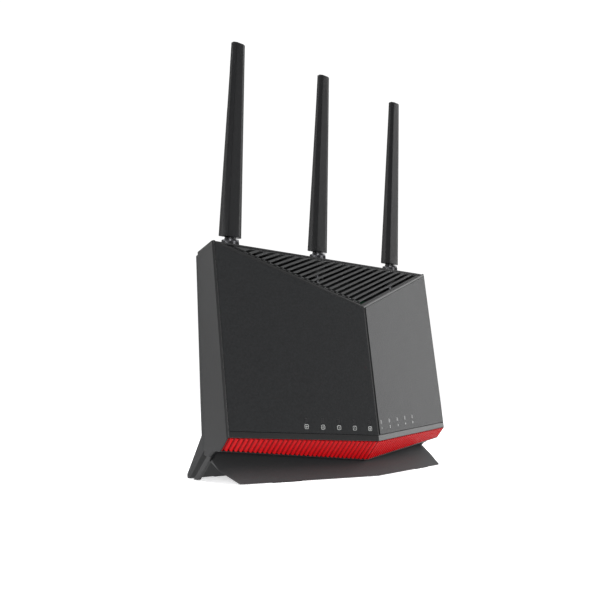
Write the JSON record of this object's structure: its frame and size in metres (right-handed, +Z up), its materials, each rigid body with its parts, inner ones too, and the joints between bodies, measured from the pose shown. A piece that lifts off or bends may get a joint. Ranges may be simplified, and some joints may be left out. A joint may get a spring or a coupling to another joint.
{
  "type": "wireless router",
  "caption": "Upright wireless router: faceted dark case on a splayed foot, slotted top vent, ribbed red underside strip, folding swivel antennas along the top, ports on the back.",
  "frame": {"origin": "on the table, under the middle of the case's footprint", "axes": "+X to the right as seen from the front, +Y to the back (ports), +Z up"},
  "size_m": [0.242, 0.1, 0.325],
  "materials": {
    "shell": "satin, dark charcoal",
    "rear": "fine texture",
    "stand": "satin",
    "panel": "satin with a fine pattern",
    "grille": "satin",
    "accent": "satin red",
    "rubber": "matte",
    "light_pipe": "clear, diffusing",
    "led": "moulded",
    "circuit_board": "solder mask",
    "chip": "moulded",
    "thermal_pad": "soft",
    "heat_sink": "extruded",
    "shield": "tinned",
    "socket": "moulded",
    "wan_socket": "moulded blue",
    "usb_tongue": "moulded blue",
    "key": "satin",
    "switch": "moulded",
    "ribbon": "flat lead",
    "lead": "sheath",
    "gold": "plated",
    "nickel": "plated, knurled",
    "screw": "zinc plated",
    "antenna": "satin"
  },
  "bodies": {
    "case": {"accent_strip": "accent", "antenna_jack_nuts": "nickel", "antenna_jacks": "nickel", "antenna_leads": "lead", "board_screws": "screw", "case_screws": "screw", "chips": "chip", "crease_insert": "rubber", "front_shell": "shell", "front_stand": "stand", "heat_sink": "heat_sink", "key_board": "circuit_board", "key_board_screw": "screw", "key_switches": "switch", "lan_sockets": "socket", "left_panel": "panel", "light_board": "circuit_board", "light_board_screws": "screw", "light_guides": "light_pipe", "light_ribbon": "ribbon", "main_board": "circuit_board", "power_inlet": "socket", "power_inlet_pin": "nickel", "power_switch": "switch", "radio_shields": "shield", "rear_cover": "rear", "reset_switch": "switch", "right_panel": "panel", "rubber_feet": "rubber", "stand_screws": "screw", "status_leds": "led", "thermal_pad": "thermal_pad", "usb_shells": "shield", "usb_tongues": "usb_tongue", "vent_grille": "grille", "wan_socket": "wan_socket"},
    "power_button": {"power_button": "key"},
    "reset_button": {"reset_button": "key"},
    "pairing_key": {"pairing_key": "key"},
    "wireless_key": {"wireless_key": "key"},
    "left_swivel": {"left_antenna_nut": "nickel", "left_antenna_neck": "antenna"},
    "left_antenna": {"left_antenna_blade": "antenna", "left_antenna_cover": "antenna", "left_antenna_pin": "screw", "left_antenna_radiator": "gold"},
    "middle_swivel": {"middle_antenna_nut": "nickel", "middle_antenna_neck": "antenna"},
    "middle_antenna": {"middle_antenna_blade": "antenna", "middle_antenna_cover": "antenna", "middle_antenna_pin": "screw", "middle_antenna_radiator": "gold"},
    "right_swivel": {"right_antenna_nut": "nickel", "right_antenna_neck": "antenna"},
    "right_antenna": {"right_antenna_blade": "antenna", "right_antenna_cover": "antenna", "right_antenna_pin": "screw", "right_antenna_radiator": "gold"}
  },
  "joints": [
    {"name": "left_antenna_swivel", "type": "hinge", "parent": "case", "child": "left_swivel", "pos_m": [-0.092, 0.0146, 0.1715], "axis": [0, 0, 1], "range_deg": [-180, 180]},
    {"name": "left_antenna_tilt", "type": "hinge", "parent": "left_swivel", "child": "left_antenna", "pos_m": [-0.092, 0.0146, 0.1836], "axis": [-1, 0, 0], "range_deg": [0, 90]},
    {"name": "middle_antenna_swivel", "type": "hinge", "parent": "case", "child": "middle_swivel", "pos_m": [0, 0.0146, 0.1715], "axis": [0, 0, 1], "range_deg": [-180, 180]},
    {"name": "middle_antenna_tilt", "type": "hinge", "parent": "middle_swivel", "child": "middle_antenna", "pos_m": [0, 0.0146, 0.1836], "axis": [-1, 0, 0], "range_deg": [0, 90]},
    {"name": "right_antenna_swivel", "type": "hinge", "parent": "case", "child": "right_swivel", "pos_m": [0.092, 0.0146, 0.1715], "axis": [0, 0, 1], "range_deg": [-180, 180]},
    {"name": "right_antenna_tilt", "type": "hinge", "parent": "right_swivel", "child": "right_antenna", "pos_m": [0.092, 0.0146, 0.1836], "axis": [-1, 0, 0], "range_deg": [0, 90]},
    {"name": "power_button_press", "type": "slide", "parent": "case", "child": "power_button", "axis": [0, -1, 0], "range_m": [0, 0.0025], "stiffness_N_per_m": 600, "springref_m": -0.001},
    {"name": "reset_button_press", "type": "slide", "parent": "case", "child": "reset_button", "axis": [0, -1, 0], "range_m": [0, 0.0006], "stiffness_N_per_m": 1800, "springref_m": -0.0002},
    {"name": "pairing_key_press", "type": "slide", "parent": "case", "child": "pairing_key", "axis": [-1, 0, 0], "range_m": [0, 0.0008], "stiffness_N_per_m": 1600, "springref_m": -0.0002},
    {"name": "wireless_key_press", "type": "slide", "parent": "case", "child": "wireless_key", "axis": [-1, 0, 0], "range_m": [0, 0.0008], "stiffness_N_per_m": 1600, "springref_m": -0.0002}
  ]
}
